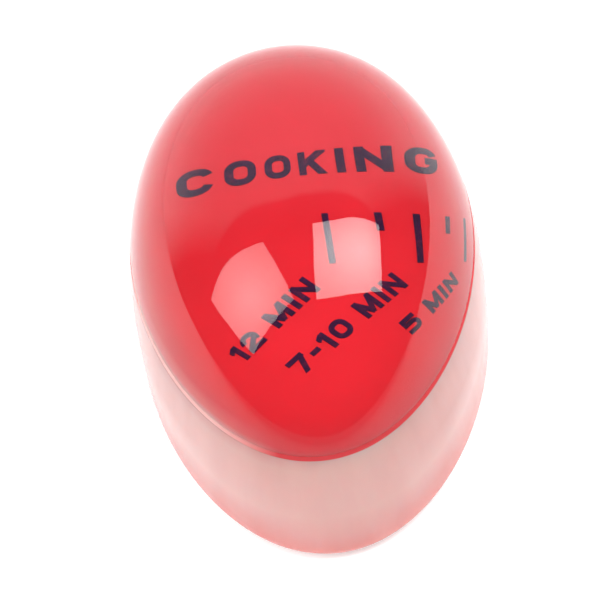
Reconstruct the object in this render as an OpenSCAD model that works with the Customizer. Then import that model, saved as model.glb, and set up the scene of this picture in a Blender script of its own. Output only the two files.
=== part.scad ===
// Colour-changing egg timer: a half egg of clear resin cast in two pours round a red, heat-sensitive layer.
// It lies flat in the pan beside the eggs. +Y is the blunt end, +Z is up, and z = 0 is the flat bottom.

/* [Egg] */
// Length of one level slice at its widest, from the point to the blunt end
slice_length = 58.8; // [50:0.2:66]
// Width across the egg
egg_width = 42; // [36:0.5:48]
// Height from the flat bottom to the top of the dome
egg_height = 32; // [28:0.5:38]
// Height of the widest level above the flat bottom
belly_height = 4; // [2:0.5:8]
// How much wider the blunt half is than the pointed half, as a share of the width
taper = 0.09; // [0:0.01:0.14]
// How far the top of the dome lies towards the blunt end
top_lean = 4.3; // [0:0.1:6]
// Fullness of the shoulders in plan (2 is a plain ellipse)
side_power = 2.86; // [2.2:0.02:3.2]
// Fullness of the dome in height (2 is a plain ellipse)
dome_power = 2.62; // [2.2:0.02:3]
// Radius of the rounded edge between the sides and the flat bottom
foot_edge = 1.8; // [0.5:0.1:2.5]

/* [Red layer] */
// Height of the top of the red layer
layer_top = 17.3; // [15:0.1:18.5]
// Thickness of the red layer
layer_thickness = 0.8; // [0.6:0.1:2]

/* [Print] */
// Depth of the ink in the top of the red layer
ink_depth = 0.15; // [0.1:0.05:0.3]
// Height of the title's letters
title_height = 3.2; // [2.4:0.1:3.4]
// Distance from the middle of the layer back to the title's foot
title_y = 7.7; // [6.5:0.1:8.5]
// Distance from the middle of the layer to the middle of the title, to the right
title_x = 1.2; // [0:0.1:1.5]
// Height of the label figures
label_height = 2.1; // [1.6:0.1:2.2]
// Slant of the labels from the egg's width
label_slant = 43; // [35:1:55]
// Width of a scale tick
tick_width = 0.6; // [0.4:0.1:1]
// Length of the long ticks
long_tick = 5.7; // [4.5:0.1:6]
// Length of the short ticks
short_tick = 2.1; // [1.5:0.1:3]
// Distance from the foot of a long tick to the end of its label
label_gap = 2.8; // [2:0.1:3.2]

/* [Hidden] */

// Facets round the egg, and levels in the foot's rounded edge and in each layer
round_steps = 96;
foot_steps = 4;
base_steps = 12;
disc_steps = 2;
dome_steps = 24;

layer_bottom = layer_top - layer_thickness;
dome_rise = egg_height - belly_height;

// The scale: five ticks, long and short in turn, from the middle of the layer to its right rim
tick_places = [2.6, 7.1, 10.2, 13.5, 16.8];
tick_top_y = 2.7;

// Stroke width of the print and the spaces between its letters, as shares of the letter height
stroke = 0.24;
title_gap = 0.27;
label_spacing = 0.2;

// Share of the full slice that is left at height z
function girth(z) = pow(1 - pow(abs(z - belly_height) / dome_rise, dome_power), 1 / side_power);

// How far the slice at height z lies towards the blunt end
function lean(z) = top_lean * z / egg_height;

// The two ends of the slice at height z
function back_end(z) = lean(z) + girth(z) * slice_length / 2;
function front_end(z) = lean(z) - girth(z) * slice_length / 2;

// The middle of the egg's whole length, which the frame's origin stands under
search = [for (z = [0 : 0.25 : layer_top]) z];
egg_middle = (max([for (z = search) back_end(z)]) + min([for (z = search) front_end(z)])) / 2;

// The outline of the egg at height z, drawn in by inset
function slice(z, inset = 0) = [
    for (i = [0 : round_steps - 1])
        let (
            turn = 360 * i / round_steps,
            share = girth(z) - 2 * inset / egg_width,
            across = share * egg_width / 2 * (1 + taper * sin(turn)) * cos(turn),
            along = share * slice_length / 2 * sin(turn) + lean(z) - egg_middle
        )
        [across, along, z]
];

// Joins slices into one closed solid, with a flat bottom and either a flat top or a point
module stack(slices, peak = []) {
    rings = len(slices);
    n = round_steps;
    sides = [
        for (k = [0 : rings - 2], i = [0 : n - 1])
            [k * n + i, (k + 1) * n + i, (k + 1) * n + (i + 1) % n, k * n + (i + 1) % n]
    ];
    bottom = [[for (i = [0 : n - 1]) i]];
    lid = [[for (i = [n - 1 : -1 : 0]) (rings - 1) * n + i]];
    fan = [for (i = [0 : n - 1]) [(rings - 1) * n + i, rings * n, (rings - 1) * n + (i + 1) % n]];
    points = [for (s = slices, p = s) p];
    polyhedron(
        points = concat(points, peak),
        faces = concat(bottom, sides, len(peak) > 0 ? fan : lid)
    );
}

// Evenly spaced heights between two levels
function heights(low, high, steps) = [for (i = [0 : steps]) low + (high - low) * i / steps];

// ---- Print ----
// Letters are drawn one unit high from strokes, and each is trimmed to its own box.
half = stroke / 2;
top = 1 - half;
// Middle-line radius of a letter's corners, and of the bowl of the 5
curl = 0.28;
bowl = 0.235;
// Widths of the letters
wide = 1;
full = 0.88;
narrow = 0.45;

// The four rounded corners of a letter w wide: [centre, radius, first angle, last angle]
function north_east(w, first = 0) = [[w - half - curl, top - curl], curl, first, 90];
function north_west(w) = [[half + curl, top - curl], curl, 90, 180];
function south_west(w) = [[half + curl, half + curl], curl, 180, 270];
function south_east(w, last = 360) = [[w - half - curl, half + curl], curl, 270, last];

// The level and upright strokes between those corners: [from, to]
function level(w, y) = [[half + curl, y], [w - half - curl, y]];
function upright(x) = [[x, half + curl], [x, top - curl]];
function post(x) = [[x, 0], [x, 1]];

// Each character is [sign, width, straight strokes, curved strokes].
SIGNS = [
    [" ", 0.3, [], []],
    ["-", narrow, [[[0, 0.5], [narrow, 0.5]]], []],
    ["C", full, [upright(half), level(full, top), level(full, half)],
        [north_west(full), south_west(full), north_east(full, 20), south_east(full, 340)]],
    ["G", full,
        [upright(half), level(full, top), level(full, half),
         [[full - half, half + curl], [full - half, 0.55]], [[0.5, 0.5], [full, 0.5]]],
        [north_west(full), south_west(full), north_east(full, 25), south_east(full)]],
    ["I", stroke, [post(half)], []],
    ["K", full, [post(half), [[half, 0.38], [full, 1.1]], [[0.35, 0.62], [full - 0.08, -0.1]]], []],
    ["M", wide, [post(half), post(wide - half), [[0.06, 1.05], [0.53, 0.1]], [[0.94, 1.05], [0.47, 0.1]]],
        []],
    ["N", full, [post(half), post(full - half), [[0, 1.05], [full, -0.05]]], []],
    ["O", full, [upright(half), upright(full - half), level(full, top), level(full, half)],
        [north_west(full), south_west(full), north_east(full), south_east(full)]],
    ["0", full, [upright(half), upright(full - half), level(full, top), level(full, half)],
        [north_west(full), south_west(full), north_east(full), south_east(full)]],
    ["1", narrow, [post(narrow - half), [[narrow, 1], [0, 0.72]]], []],
    ["2", full, [level(full, top), [[full - 0.16, 0.62], [0, half]], [[0, half], [full, half]]],
        [north_west(full), [[full - half - curl, top - curl], curl, -35, 90]]],
    ["5", full,
        [[[0, top], [full - 0.06, top]], [[half, top], [half, 0.5]],
         [[0, half + 2 * bowl], [full - half - bowl, half + 2 * bowl]],
         [[0, half], [full - half - bowl, half]]],
        [[[full - half - bowl, half + bowl], bowl, -90, 90]]],
    ["7", full, [[[0, top], [full, top]], [[full - half, top], [0.3, -0.05]]], []]
];

function sign_of(c) = SIGNS[search([c], SIGNS)[0]];
function sign_width(c) = sign_of(c)[1];

// Where each character of a word starts, and how long the word is, in letter heights
function start_of(word, i, gap) =
    i == 0 ? 0 : start_of(word, i - 1, gap) + sign_width(word[i - 1]) + gap;
function word_length(word, gap) = start_of(word, len(word), gap) - gap;

// One straight stroke of ink
module straight(from, to, depth) {
    run = to - from;
    translate([from.x, from.y, 0])
        rotate(atan2(run.y, run.x))
            translate([0, -half, 0])
                cube([norm(run), stroke, depth]);
}

// One curved stroke of ink
module curved(centre, radius, first, last, depth)
    translate([centre.x, centre.y, 0])
        rotate(first)
            rotate_extrude(angle = last - first, $fn = 48)
                translate([radius - half, 0])
                    square([stroke, depth]);

// A word in ink, letters of the given height, its foot along +X from the origin
module word(letters, height, gap) {
    depth = ink_depth / height;
    scale(height)
        for (i = [0 : len(letters) - 1])
            if (letters[i] != " ")
                translate([start_of(letters, i, gap), 0, 0])
                    intersection() {
                        cube([sign_width(letters[i]), 1, depth]);
                        union() {
                            for (s = sign_of(letters[i])[2])
                                straight(s[0], s[1], depth);
                            for (s = sign_of(letters[i])[3])
                                curved(s[0], s[1], s[2], s[3], depth);
                        }
                    }
}

// Puts ink into the top of the red layer
module on_layer()
    translate([0, 0, layer_top - ink_depth])
        children();

function tick_length(i) = i % 2 == 0 ? long_tick : short_tick;

// A slanted label whose end points at the foot of tick i
module label(letters, i) {
    start = -label_gap - word_length(letters, label_spacing) * label_height;
    on_layer()
        translate([tick_places[i], tick_top_y - tick_length(i), 0])
            rotate(label_slant)
                translate([start, -label_height / 2, 0])
                    word(letters, label_height, label_spacing);
}

// ---- Pieces ----
// Lower casting: translucent resin with a flat, sanded bottom
module base_block() {
    foot = [
        for (i = [0 : foot_steps - 1])
            let (turn = 90 * i / foot_steps)
            slice(foot_edge * (1 - cos(turn)), foot_edge * (1 - sin(turn)))
    ];
    color([0.96, 0.84, 0.82])
        stack(concat(foot, [for (z = heights(foot_edge, layer_bottom, base_steps)) slice(z)]));
}

// Heat-sensitive red layer, with the print let into its top face
module colour_disc()
    color([0.92, 0.17, 0.2])
        difference() {
            stack([for (z = heights(layer_bottom, layer_top, disc_steps)) slice(z)]);
            title_print();
            scale_ticks();
            label_long();
            label_medium();
            label_short();
        }

// Title across the blunt half
module title_print()
    color([0.12, 0.08, 0.2])
        on_layer()
            translate([title_x - word_length("COOKING", title_gap) * title_height / 2, title_y, 0])
                word("COOKING", title_height, title_gap);

// Long and short scale ticks, from the middle of the layer to its right rim
module scale_ticks()
    color([0.12, 0.08, 0.2])
        on_layer()
            for (i = [0 : len(tick_places) - 1])
                translate([tick_places[i] - tick_width / 2, tick_top_y - tick_length(i), 0])
                    cube([tick_width, tick_length(i), ink_depth]);

// Label of the innermost long tick, reached last
module label_long()
    color([0.12, 0.08, 0.2])
        label("12 MIN", 0);

// Label of the middle long tick
module label_medium()
    color([0.12, 0.08, 0.2])
        label("7-10 MIN", 2);

// Label of the outermost long tick, reached first
module label_short()
    color([0.12, 0.08, 0.2])
        label("5 MIN", 4);

// Upper casting: clear resin that seals the print and magnifies it
module clear_dome() {
    levels = [
        for (i = [0 : dome_steps - 1])
            layer_top + (egg_height - layer_top) * sin(90 * i / dome_steps)
    ];
    color([0.95, 0.5, 0.52, 0.5])
        stack([for (z = levels) slice(z)], [[0, lean(egg_height) - egg_middle, egg_height]]);
}

base_block();
colour_disc();
title_print();
scale_ticks();
label_long();
label_medium();
label_short();
clear_dome();
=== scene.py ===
import math

import bpy
from mathutils import Matrix, Vector


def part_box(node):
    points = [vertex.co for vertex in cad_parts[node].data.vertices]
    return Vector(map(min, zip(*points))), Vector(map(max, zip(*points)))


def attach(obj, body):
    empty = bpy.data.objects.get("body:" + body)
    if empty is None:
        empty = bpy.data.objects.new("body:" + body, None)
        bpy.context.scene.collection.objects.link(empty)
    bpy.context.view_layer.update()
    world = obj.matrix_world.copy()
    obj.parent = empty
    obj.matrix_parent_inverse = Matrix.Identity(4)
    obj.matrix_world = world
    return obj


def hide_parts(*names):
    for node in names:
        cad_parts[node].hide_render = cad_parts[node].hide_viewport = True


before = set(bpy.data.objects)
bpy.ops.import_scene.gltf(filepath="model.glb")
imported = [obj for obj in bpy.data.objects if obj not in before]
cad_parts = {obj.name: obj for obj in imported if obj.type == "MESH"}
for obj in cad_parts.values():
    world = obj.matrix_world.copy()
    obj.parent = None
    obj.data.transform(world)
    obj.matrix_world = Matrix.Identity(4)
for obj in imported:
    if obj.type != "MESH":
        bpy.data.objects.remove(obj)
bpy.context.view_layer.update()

# ---- Lower casting ----
# The first of two pours of clear resin: the foot of the half egg, slightly milky, with glossy moulded sides.
# Its flat bottom is sanded on a belt, which leaves fine scratches along the egg; its edge is rounded off.
SLICE_LENGTH = 0.0588
EGG_WIDTH = 0.042
EGG_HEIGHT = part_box("clear_dome")[1].z
BELLY_HEIGHT = 0.004
TAPER = 0.09
TOP_LEAN = 0.0043
SIDE_POWER = 2.86
DOME_POWER = 2.62
FOOT_EDGE = 0.0018
# A hair's breadth by which a clear casting reaches into the layer it is cured to
BOND = 0.00005
# How far up a piece's rows of faces its bottom, its rounded edge and its side reach
BOTTOM_ROWS = 0.08
EDGE_ROWS = 0.16
SIDE_ROWS = 0.92
# Corners of a piece that lie closer than this are one
SAME_PLACE = 1e-6
# Edges that turn more than this stay sharp
SHARP_TURN = math.radians(35)

layer_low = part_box("colour_disc")[0].z
layer_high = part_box("colour_disc")[1].z
dome_low, dome_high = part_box("clear_dome")
egg_middle = TOP_LEAN * layer_high / EGG_HEIGHT - (dome_low.y + dome_high.y) / 2


def calc(tree, operation, *values):
    """A Math node on numbers or sockets, and its result."""
    node = tree.nodes.new("ShaderNodeMath")
    node.operation = operation
    for socket, value in zip(node.inputs, values):
        if isinstance(value, bpy.types.NodeSocket):
            tree.links.new(value, socket)
        else:
            socket.default_value = value
    return node.outputs[0]


def ramp(tree, value, low, high):
    """0 below low, 1 above high, and straight between them."""
    node = tree.nodes.new("ShaderNodeMapRange")
    node.inputs["From Min"].default_value = low
    node.inputs["From Max"].default_value = high
    tree.links.new(value, node.inputs["Value"])
    return node.outputs["Result"]


def egg_slices():
    """Geometry Nodes that stack level slices of the egg, from Low to High, into one closed piece."""
    tree = bpy.data.node_groups.new("egg_slices", "GeometryNodeTree")
    face = tree.interface
    face.new_socket("Geometry", in_out="OUTPUT", socket_type="NodeSocketGeometry")
    for name in (
        "Low", "High", "Edge", "Inset", "Length", "Width", "Height", "Belly",
        "Taper", "Lean", "Side power", "Dome power", "Middle",
    ):
        face.new_socket(name, in_out="INPUT", socket_type="NodeSocketFloat")
    for name in ("Turns", "Levels"):
        face.new_socket(name, in_out="INPUT", socket_type="NodeSocketInt")
    face.new_socket("Material", in_out="INPUT", socket_type="NodeSocketMaterial")
    given = tree.nodes.new("NodeGroupInput").outputs
    grid = tree.nodes.new("GeometryNodeMeshGrid")
    tree.links.new(given["Turns"], grid.inputs["Vertices X"])
    tree.links.new(given["Levels"], grid.inputs["Vertices Y"])
    uv = tree.nodes.new("ShaderNodeSeparateXYZ")
    tree.links.new(grid.outputs["UV Map"], uv.inputs[0])
    turn = calc(tree, "MULTIPLY", uv.outputs["X"], math.tau)
    # Going up the piece: across its bottom, round its edge, up its side and in over its top
    bottom = ramp(tree, uv.outputs["Y"], 0.0, BOTTOM_ROWS)
    edge = calc(tree, "MULTIPLY", ramp(tree, uv.outputs["Y"], BOTTOM_ROWS, EDGE_ROWS), math.pi / 2)
    side = calc(tree, "MULTIPLY", ramp(tree, uv.outputs["Y"], EDGE_ROWS, SIDE_ROWS), math.pi / 2)
    over = ramp(tree, uv.outputs["Y"], SIDE_ROWS, 1.0)
    rounded = calc(tree, "SUBTRACT", 1.0, calc(tree, "COSINE", edge))
    rounded = calc(tree, "MULTIPLY", given["Edge"], rounded)
    straight = calc(tree, "SUBTRACT", given["High"], given["Low"])
    straight = calc(tree, "SUBTRACT", straight, given["Edge"])
    height = calc(tree, "ADD", given["Low"], rounded)
    height = calc(tree, "ADD", height, calc(tree, "MULTIPLY", straight, calc(tree, "SINE", side)))
    # The share of the full slice that is left at this height
    rise = calc(tree, "SUBTRACT", given["Height"], given["Belly"])
    away = calc(tree, "ABSOLUTE", calc(tree, "SUBTRACT", height, given["Belly"]))
    away = calc(tree, "DIVIDE", away, rise)
    left = calc(tree, "SUBTRACT", 1.0, calc(tree, "POWER", away, given["Dome power"]))
    left = calc(tree, "MAXIMUM", left, 0.0)
    girth = calc(tree, "POWER", left, calc(tree, "DIVIDE", 1.0, given["Side power"]))
    # What the rounded edge and the inset take off on each side
    cut = calc(tree, "SUBTRACT", 1.0, calc(tree, "SINE", edge))
    cut = calc(tree, "MULTIPLY_ADD", given["Edge"], cut, given["Inset"])
    cut = calc(tree, "DIVIDE", calc(tree, "MULTIPLY", cut, 2.0), given["Width"])
    share = calc(tree, "SUBTRACT", girth, cut)
    share = calc(tree, "MAXIMUM", share, 0.0)
    share = calc(tree, "MULTIPLY", share, bottom)
    share = calc(tree, "MULTIPLY", share, calc(tree, "SUBTRACT", 1.0, over))
    half = calc(tree, "MULTIPLY", share, 0.5)
    wider = calc(tree, "ADD", 1.0, calc(tree, "MULTIPLY", given["Taper"], calc(tree, "SINE", turn)))
    across = calc(tree, "MULTIPLY", calc(tree, "MULTIPLY", half, given["Width"]), wider)
    across = calc(tree, "MULTIPLY", across, calc(tree, "COSINE", turn))
    along = calc(tree, "MULTIPLY", calc(tree, "MULTIPLY", half, given["Length"]), calc(tree, "SINE", turn))
    lean = calc(tree, "MULTIPLY", given["Lean"], calc(tree, "DIVIDE", height, given["Height"]))
    along = calc(tree, "ADD", along, calc(tree, "SUBTRACT", lean, given["Middle"]))
    place = tree.nodes.new("ShaderNodeCombineXYZ")
    for socket, value in zip(place.inputs, (across, along, height)):
        tree.links.new(value, socket)
    move = tree.nodes.new("GeometryNodeSetPosition")
    tree.links.new(grid.outputs["Mesh"], move.inputs["Geometry"])
    tree.links.new(place.outputs[0], move.inputs["Position"])
    merge = tree.nodes.new("GeometryNodeMergeByDistance")
    merge.inputs["Distance"].default_value = SAME_PLACE
    tree.links.new(move.outputs[0], merge.inputs["Geometry"])
    realise = tree.nodes.new("GeometryNodeRealizeInstances")
    tree.links.new(merge.outputs[0], realise.inputs[0])
    finish = tree.nodes.new("GeometryNodeSetMaterial")
    tree.links.new(realise.outputs[0], finish.inputs["Geometry"])
    tree.links.new(given["Material"], finish.inputs["Material"])
    out = tree.nodes.new("NodeGroupOutput")
    tree.links.new(finish.outputs[0], out.inputs[0])
    return tree


slices_tree = egg_slices()


def egg_piece(name, low, high, material, edge=0.0, inset=0.0, turns=193, levels=121):
    """A closed piece of the egg between two heights, as a plain mesh."""
    piece = bpy.data.objects.new(name, bpy.data.meshes.new(name))
    bpy.context.scene.collection.objects.link(piece)
    modifier = piece.modifiers.new("slices", "NODES")
    modifier.node_group = slices_tree
    sizes = {
        "Low": low, "High": high, "Edge": edge, "Inset": inset, "Length": SLICE_LENGTH,
        "Width": EGG_WIDTH, "Height": EGG_HEIGHT, "Belly": BELLY_HEIGHT, "Taper": TAPER,
        "Lean": TOP_LEAN, "Side power": SIDE_POWER, "Dome power": DOME_POWER,
        "Middle": egg_middle, "Turns": turns, "Levels": levels, "Material": material,
    }
    for item in slices_tree.interface.items_tree:
        if item.in_out == "INPUT":
            modifier[item.identifier] = sizes[item.name]
    bpy.context.view_layer.update()
    evaluated = piece.evaluated_get(bpy.context.evaluated_depsgraph_get())
    mesh = bpy.data.meshes.new_from_object(evaluated)
    piece.modifiers.clear()
    piece.data = mesh
    mesh.name = name
    mesh.shade_smooth()
    mesh.set_sharp_from_angle(angle=SHARP_TURN)
    return piece


def plain_material(name):
    """A material with one Principled shader; gives the material, its node tree and that shader."""
    material = bpy.data.materials.new(name)
    material.use_nodes = True
    tree = material.node_tree
    shader = tree.nodes["Principled BSDF"]
    return material, tree, shader


def object_place(tree, centre=(0.0, 0.0, 0.0), scale=(1.0, 1.0, 1.0)):
    """A point's place on its object, measured from a centre and stretched along each axis."""
    node = tree.nodes.new("ShaderNodeMapping")
    tree.links.new(tree.nodes.new("ShaderNodeTexCoord").outputs["Object"], node.inputs["Vector"])
    node.inputs["Scale"].default_value = scale
    node.inputs["Location"].default_value = [-c * s for c, s in zip(centre, scale)]
    return node.outputs["Vector"]


def axis(tree, vector, name):
    """One of a vector's three numbers: X, Y or Z."""
    node = tree.nodes.new("ShaderNodeSeparateXYZ")
    tree.links.new(vector, node.inputs[0])
    return node.outputs[name]


def clouds(tree, vector, size, detail=2.0):
    """Noise from 0 to 1 whose features are about size metres wide."""
    node = tree.nodes.new("ShaderNodeTexNoise")
    tree.links.new(vector, node.inputs["Vector"])
    node.inputs["Scale"].default_value = 1 / size
    node.inputs["Detail"].default_value = detail
    return node.outputs["Fac"]


def blend(tree, share, first, second):
    """Colour first where share is 0 and second where it is 1; each is a colour or a socket."""
    node = tree.nodes.new("ShaderNodeMix")
    node.data_type = "RGBA"
    tree.links.new(share, node.inputs["Factor"])
    for name, colour in (("A", first), ("B", second)):
        socket = next(i for i in node.inputs if i.name == name and i.type == "RGBA")
        if isinstance(colour, bpy.types.NodeSocket):
            tree.links.new(colour, socket)
        else:
            socket.default_value = (*colour, 1)
    return next(o for o in node.outputs if o.type == "RGBA")


def relief(tree, shader, height, depth):
    """Raises the surface by depth metres where height is 1."""
    node = tree.nodes.new("ShaderNodeBump")
    node.inputs["Strength"].default_value = 1.0
    node.inputs["Distance"].default_value = depth
    tree.links.new(height, node.inputs["Height"])
    tree.links.new(node.outputs["Normal"], shader.inputs["Normal"])


MILKY_PINK = (0.69, 0.385, 0.355)
# A greyer pink for the painted shade just under the red layer
SHADE_UNDER_LAYER = (0.64, 0.36, 0.32)
RED_BLEED = (0.66, 0.14, 0.14)
FLANK_PINK = (0.48, 0.23, 0.22)
FOOT_PINK = (0.66, 0.2, 0.19)
# The lighter pink of a painted highlight lying as a belt low on the flanks
HIGHLIGHT_BELT_PINK = (0.86, 0.6, 0.57)
CLOUDY_PINK = (0.86, 0.6, 0.56)
# The heights between which the foot's colour fades out, and where the belt of painted highlight lies and how
# far it reaches
FOOT_FADE = (0.0005, 0.008)
HIGHLIGHT_HEIGHT = 0.0075
HIGHLIGHT_REACH = 0.0035
# How far light wanders inside the milky casting, and the share of it for red, green and blue
MILKY_DEPTH = 0.006
MILKY_SHARES = (1.0, 0.5, 0.4)
# How wide the streaks, the drifts and the sanding scratches are
STREAK_SIZE = 0.003
DRIFT_SIZE = 0.012
SCRATCH_SIZE = 0.0003
RESIN_IOR = 1.5
BASE_RELIEF = 0.00002


def milky_resin():
    """Cloudy pink resin: deeper towards the foot, with painted shade just under the red layer, a belt of
    painted highlight low on the flanks, faint upright streaks and a sanded bottom.
    """
    material, tree, shader = plain_material("milky_resin")
    across = axis(tree, object_place(tree), "X")
    height = axis(tree, object_place(tree), "Z")
    # Just under the layer the resin is a little greyer with painted shade, where less light reaches under the
    # red; and some red has bled into it on the left
    shade_under_layer = ramp(tree, height, layer_low - 0.005, layer_low)
    colour = blend(tree, shade_under_layer, MILKY_PINK, SHADE_UNDER_LAYER)
    left = ramp(tree, across, 0.004, -0.016)
    bleed = calc(tree, "MULTIPLY", ramp(tree, height, layer_low - 0.0014, layer_low), left)
    colour = blend(tree, calc(tree, "MULTIPLY", bleed, 0.8), colour, RED_BLEED)
    # The flanks and the foot are a deeper pink, but for a lighter belt of painted highlight low down on the
    # flanks
    flank = ramp(tree, calc(tree, "ABSOLUTE", across), 0.003, 0.017)
    colour = blend(tree, calc(tree, "MULTIPLY", flank, 0.8), colour, FLANK_PINK)
    colour = blend(tree, ramp(tree, height, *FOOT_FADE), FOOT_PINK, colour)
    from_highlight = calc(tree, "ABSOLUTE", calc(tree, "SUBTRACT", height, HIGHLIGHT_HEIGHT))
    highlight_belt = calc(tree, "MULTIPLY", ramp(tree, from_highlight, HIGHLIGHT_REACH, 0.0), flank)
    colour = blend(tree, calc(tree, "MULTIPLY", highlight_belt, 0.3), colour, HIGHLIGHT_BELT_PINK)
    # Streaks stand upright, and drifts are as wide as they are high
    streaks = clouds(tree, object_place(tree, scale=(1, 1, 0.08)), STREAK_SIZE, 3.0)
    drifts = clouds(tree, object_place(tree), DRIFT_SIZE)
    cloudy = calc(tree, "MULTIPLY_ADD", streaks, 0.4, calc(tree, "MULTIPLY", drifts, 0.6))
    cloudy = calc(tree, "MULTIPLY", ramp(tree, cloudy, 0.35, 0.75), 0.25)
    colour = blend(tree, cloudy, colour, CLOUDY_PINK)
    tree.links.new(colour, shader.inputs["Base Color"])
    shader.inputs["Subsurface Weight"].default_value = 1.0
    shader.inputs["Subsurface Radius"].default_value = MILKY_SHARES
    shader.inputs["Subsurface Scale"].default_value = MILKY_DEPTH
    shader.inputs["IOR"].default_value = RESIN_IOR
    # Sanding scratches run along the bottom; the sides are glossy from the mould
    sanded = ramp(tree, height, 0.0003, 0.0)
    scratches = clouds(tree, object_place(tree, scale=(1, 0.02, 1)), SCRATCH_SIZE, 6.0)
    rough = calc(tree, "MULTIPLY_ADD", drifts, 0.06, 0.1)
    rough = calc(tree, "MULTIPLY_ADD", sanded, 0.4, rough)
    tree.links.new(rough, shader.inputs["Roughness"])
    waves = calc(tree, "MULTIPLY", clouds(tree, object_place(tree), 0.011), 3.0)
    relief(tree, shader, calc(tree, "MULTIPLY_ADD", sanded, scratches, waves), BASE_RELIEF)
    return material


base = egg_piece("base_casting", 0.0, layer_low + BOND, milky_resin(), edge=FOOT_EDGE)
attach(base, "root")
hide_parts("base_block")

# ---- Red layer ----
# A coat of heat-sensitive red, poured over the dome in its mould once the legend is on.
# Cold it is a strong red, a little paler at the blunt end; near its rim, which lies at the surface, a painted
# reflection lightens it, and painted shade makes the rim itself duskier.

# The ink stands this far above the coat, and the coat's rim lies a skin's depth inside the egg
INK_STANDS = 0.0001
SKIN = 0.00002
FLAKE_SIZE = 0.0004
RED_FLAKES = ((0.62, 0.011, 0.02), (0.68, 0.015, 0.026))
POINT_RED = (0.8, 0.018, 0.03)
BLUNT_RED = (0.63, 0.026, 0.041)
# A lighter red for the painted reflection in a band near the rim
REFLECTION_RIM_RED = (0.72, 0.03, 0.045)
# A duskier red for the painted shade at the rim
SHADED_RIM_RED = (0.58, 0.07, 0.075)
FADED_RED = (0.85, 0.2, 0.2)
MOST_FADED_PINK = (0.74, 0.48, 0.45)


def red_layer():
    """Pigmented resin: red flakes too small to tell apart, a painted reflection near the rim and painted
    shade at the rim itself.
    """
    material, tree, shader = plain_material("red_layer")
    flakes = clouds(tree, object_place(tree), FLAKE_SIZE, 3.0)
    drifts = clouds(tree, object_place(tree), 0.008)
    mottle = calc(tree, "MULTIPLY_ADD", flakes, 0.25, calc(tree, "MULTIPLY", drifts, 0.75))
    colour = blend(tree, ramp(tree, mottle, 0.3, 0.7), *RED_FLAKES)
    # The coat is brightest towards the point
    low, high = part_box("colour_disc")
    half_length = (high.y - low.y) / 2
    half_width = EGG_WIDTH * half_length / SLICE_LENGTH
    along = axis(tree, object_place(tree, (low + high) / 2, (0, 1 / half_length, 0)), "Y")
    colour = blend(tree, ramp(tree, along, 0.0, -1.0), colour, POINT_RED)
    # Towards the blunt end it is a little paler
    paler = calc(tree, "MULTIPLY", ramp(tree, along, 0.0, 0.35), 0.8)
    colour = blend(tree, paler, colour, BLUNT_RED)
    # From 0 in the middle of the layer to 1 at its rim, all round the egg
    across = axis(tree, object_place(tree, scale=(1 / half_width, 0, 0)), "X")
    widest = calc(tree, "MULTIPLY_ADD", along, TAPER, 1.0)
    place = tree.nodes.new("ShaderNodeCombineXYZ")
    tree.links.new(calc(tree, "DIVIDE", across, widest), place.inputs["X"])
    tree.links.new(along, place.inputs["Y"])
    length = tree.nodes.new("ShaderNodeVectorMath")
    length.operation = "LENGTH"
    tree.links.new(place.outputs[0], length.inputs[0])
    reach = length.outputs["Value"]
    # Towards the rim a painted reflection makes a lighter red band
    colour = blend(tree, ramp(tree, reach, 0.8, 0.96), colour, REFLECTION_RIM_RED)
    # At the rim itself painted shade makes the red duskier
    colour = blend(tree, ramp(tree, reach, 0.96, 1.01), colour, SHADED_RIM_RED)
    # At the left of the point the rim is paler, and right at its edge it turns a milky pink
    left_fade = calc(tree, "MULTIPLY", ramp(tree, across, -0.25, -0.6), ramp(tree, along, 0.1, -0.2))
    faded_rim = calc(tree, "MULTIPLY", left_fade, ramp(tree, reach, 0.86, 0.96))
    colour = blend(tree, calc(tree, "MULTIPLY", faded_rim, 0.8), colour, FADED_RED)
    most_faded_rim = calc(tree, "MULTIPLY", left_fade, ramp(tree, reach, 0.95, 0.99))
    colour = blend(tree, calc(tree, "MULTIPLY", most_faded_rim, 0.8), colour, MOST_FADED_PINK)
    tree.links.new(colour, shader.inputs["Base Color"])
    shader.inputs["Roughness"].default_value = 0.4
    shader.inputs["Specular IOR Level"].default_value = 0.0
    return material


layer = egg_piece(
    "red_coat", layer_low, layer_high - INK_STANDS, red_layer(), inset=SKIN, levels=41
)
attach(layer, "root")
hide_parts("colour_disc")

# ---- Print ----
# The legend is screen-printed in a near-black violet ink and lies between the red layer and the clear dome.
# Title, scale ticks and the three slanted labels are one printing.
PRINTS = ["title_print", "scale_ticks", "label_long", "label_medium", "label_short"]
FULL_INK = (0.03, 0.004, 0.032)
THIN_INK = (0.1, 0.008, 0.035)


def printing_ink():
    """Screen ink, a little thin in places, where the red shows through."""
    material, tree, shader = plain_material("printing_ink")
    thin = ramp(tree, clouds(tree, object_place(tree), 0.0007, 4.0), 0.5, 0.8)
    colour = blend(tree, thin, FULL_INK, THIN_INK)
    tree.links.new(colour, shader.inputs["Base Color"])
    shader.inputs["Roughness"].default_value = 0.5
    shader.inputs["Specular IOR Level"].default_value = 0.0
    return material


ink = printing_ink()
for name in PRINTS:
    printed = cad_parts[name]
    printed.data.materials.clear()
    printed.data.materials.append(ink)

# ---- Clear dome ----
# The second pour, water-clear and moulded glossy: it seals the print and the layer and magnifies them.
# Its skin keeps the slight waves of the mould.
WATER_CLEAR = (1.0, 0.985, 0.98, 1)
DOME_RELIEF = 0.00006


def clear_resin():
    """Water-clear resin with a slightly wavy skin."""
    material, tree, shader = plain_material("clear_resin")
    shader.inputs["Base Color"].default_value = WATER_CLEAR
    shader.inputs["Transmission Weight"].default_value = 1.0
    shader.inputs["IOR"].default_value = RESIN_IOR
    shader.inputs["Roughness"].default_value = 0.02
    relief(tree, shader, clouds(tree, object_place(tree), 0.012, 1.0), DOME_RELIEF)
    return material


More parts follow.
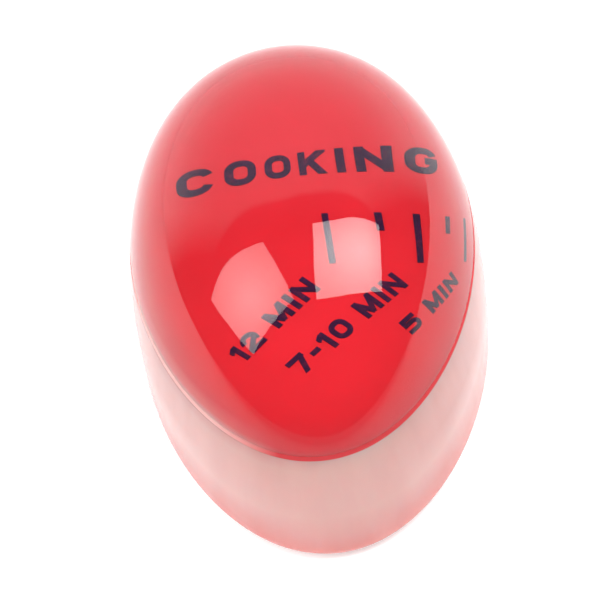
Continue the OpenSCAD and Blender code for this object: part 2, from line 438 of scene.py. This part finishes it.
dome = egg_piece("dome_casting", layer_high - INK_STANDS - BOND, EGG_HEIGHT, clear_resin())
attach(dome, "root")
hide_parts("clear_dome")

# ---- Floor and studio ----
# A pale table with painted shade on its front part, a white sweep behind it, a dark room in front, and two
# softboxes overhead, which are the two bright patches in the dome.
FLOOR_SIZE = 3.2
WHITE_TABLE = 0.6
# The grey of the painted shade on the front of the table
SHADED_FRONT_TABLE = 0.36
# The table is lit a little from below, which keeps the shadow on it faint
TABLE_GLOW = 0.5
# Where the painted shade on the table begins in front of the egg, and where it is full
WHITE_FROM = -0.03
GREY_FROM = -0.25
# The sweep is brightest low down, where it is lit from below as well
SWEEP_LOW = 1.7
SWEEP_HIGH = 0.9
# How steeply the sweep's upper edge rises behind the egg, and towards its two ends
ARCH_RISE = 1.6
ARCH_FLARE = 0.43
ROOM_GLOW = 0.22


def floor_plane():
    """A flat table top with painted shade towards the front, where it is greyer."""
    mesh = bpy.data.meshes.new("floor")
    half = FLOOR_SIZE / 2
    corners = [(-half, -half, 0), (half, -half, 0), (half, half, 0), (-half, half, 0)]
    mesh.from_pydata(corners, [], [(0, 1, 2, 3)])
    floor = bpy.data.objects.new("floor", mesh)
    bpy.context.scene.collection.objects.link(floor)
    material, tree, shader = plain_material("pale_table")
    white = ramp(tree, axis(tree, object_place(tree), "Y"), GREY_FROM, WHITE_FROM)
    shade = calc(tree, "MULTIPLY_ADD", white, WHITE_TABLE - SHADED_FRONT_TABLE, SHADED_FRONT_TABLE)
    tree.links.new(shade, shader.inputs["Base Color"])
    shader.inputs["Roughness"].default_value = 0.9
    shader.inputs["Specular IOR Level"].default_value = 0.0
    shader.inputs["Emission Color"].default_value = (1, 1, 1, 1)
    tree.links.new(calc(tree, "MULTIPLY", white, TABLE_GLOW), shader.inputs["Emission Strength"])
    mesh.materials.append(material)


def softbox(name, place, size, facing, across, middle, edge):
    """A rectangular light that faces one way, its width along across, glowing middle to edge."""
    mesh = bpy.data.meshes.new(name)
    wide, high = size[0] / 2, size[1] / 2
    corners = [(-wide, -high, 0), (wide, -high, 0), (wide, high, 0), (-wide, high, 0)]
    mesh.from_pydata(corners, [], [(0, 1, 2, 3)])
    lamp = bpy.data.objects.new(name, mesh)
    bpy.context.scene.collection.objects.link(lamp)
    back = -Vector(facing).normalized()
    upright = back.cross(Vector(across)).normalized()
    turned = Matrix((upright.cross(back), upright, back)).transposed()
    lamp.matrix_world = Matrix.Translation(place) @ turned.to_4x4()
    lamp.visible_camera = False
    material, tree, shader = plain_material(name)
    length = tree.nodes.new("ShaderNodeVectorMath")
    length.operation = "LENGTH"
    tree.links.new(object_place(tree, scale=(1 / wide, 1 / high, 0)), length.inputs[0])
    away = ramp(tree, length.outputs["Value"], 0.0, 1.2)
    glow = calc(tree, "MULTIPLY_ADD", away, edge - middle, middle)
    shader.inputs["Base Color"].default_value = (0, 0, 0, 1)
    shader.inputs["Specular IOR Level"].default_value = 0.0
    shader.inputs["Emission Color"].default_value = (1, 1, 1, 1)
    tree.links.new(glow, shader.inputs["Emission Strength"])
    mesh.materials.append(material)


def studio_world():
    """The sweep and the room, as light from all round; the camera sees plain white."""
    world = bpy.data.worlds.new("studio")
    bpy.context.scene.world = world
    world.use_nodes = True
    tree = world.node_tree
    tree.nodes.clear()
    way = tree.nodes.new("ShaderNodeSeparateXYZ")
    coordinates = tree.nodes.new("ShaderNodeTexCoord")
    tree.links.new(coordinates.outputs["Generated"], way.inputs[0])
    x, y, z = way.outputs
    # The sweep hangs in an arch behind the egg and fades out at its two ends
    top = calc(tree, "MULTIPLY", y, ARCH_RISE)
    top = calc(tree, "MULTIPLY_ADD", calc(tree, "ABSOLUTE", x), ARCH_FLARE, top)
    below_top = ramp(tree, calc(tree, "SUBTRACT", top, z), 0.0, 0.05)
    right_end = ramp(tree, calc(tree, "SUBTRACT", calc(tree, "MULTIPLY", y, 2.3), x), 0.0, 0.6)
    left_end = ramp(tree, calc(tree, "ADD", calc(tree, "MULTIPLY", y, 3.6), x), 0.0, 0.9)
    sweep = calc(tree, "MULTIPLY", calc(tree, "MULTIPLY", below_top, right_end), left_end)
    paper = calc(tree, "MULTIPLY_ADD", ramp(tree, z, 0.2, 0.7), SWEEP_HIGH - SWEEP_LOW, SWEEP_LOW)
    glow = calc(tree, "MULTIPLY_ADD", sweep, calc(tree, "SUBTRACT", paper, ROOM_GLOW), ROOM_GLOW)
    seen = tree.nodes.new("ShaderNodeLightPath").outputs["Is Camera Ray"]
    shown = calc(tree, "MAXIMUM", glow, seen)
    light = tree.nodes.new("ShaderNodeBackground")
    tree.links.new(shown, light.inputs["Color"])
    out = tree.nodes.new("ShaderNodeOutputWorld")
    tree.links.new(light.outputs[0], out.inputs["Surface"])


floor_plane()
studio_world()
softbox(
    "left_softbox",
    place=(-1.41, -0.26, 1.92), size=(1.38, 2.37),
    facing=(0.66, 0.01, -0.75), across=(0.26, -0.94, 0.21),
    middle=7.5, edge=4.0,
)
softbox(
    "right_softbox",
    place=(1.27, 0.28, 2.02), size=(2.14, 1.56),
    facing=(0.05, 0.55, -0.84), across=(1.0, -0.04, 0.04),
    middle=12.5, edge=6.5,
)

# ---- Camera ----
# A long lens from above the pointed end, rolled a little so that the egg leans to the left.
CAMERA_PLACE = (0.00654, -0.15468, 0.23275)
AIM = (-0.00145, 0.00657, 0.0)
ROLL = 9.68
LENS = 137.8


def camera():
    """The camera, aimed and then turned round its own line of sight."""
    data = bpy.data.cameras.new("camera")
    data.lens = LENS
    data.clip_start = 0.01
    shooter = bpy.data.objects.new("camera", data)
    bpy.context.scene.collection.objects.link(shooter)
    place = Vector(CAMERA_PLACE)
    facing = (Vector(AIM) - place).to_track_quat("-Z", "Y")
    turn = facing.to_matrix().to_4x4() @ Matrix.Rotation(math.radians(-ROLL), 4, "Z")
    shooter.matrix_world = Matrix.Translation(place) @ turn
    bpy.context.scene.camera = shooter


camera()
bpy.context.scene.view_settings.view_transform = "Standard"
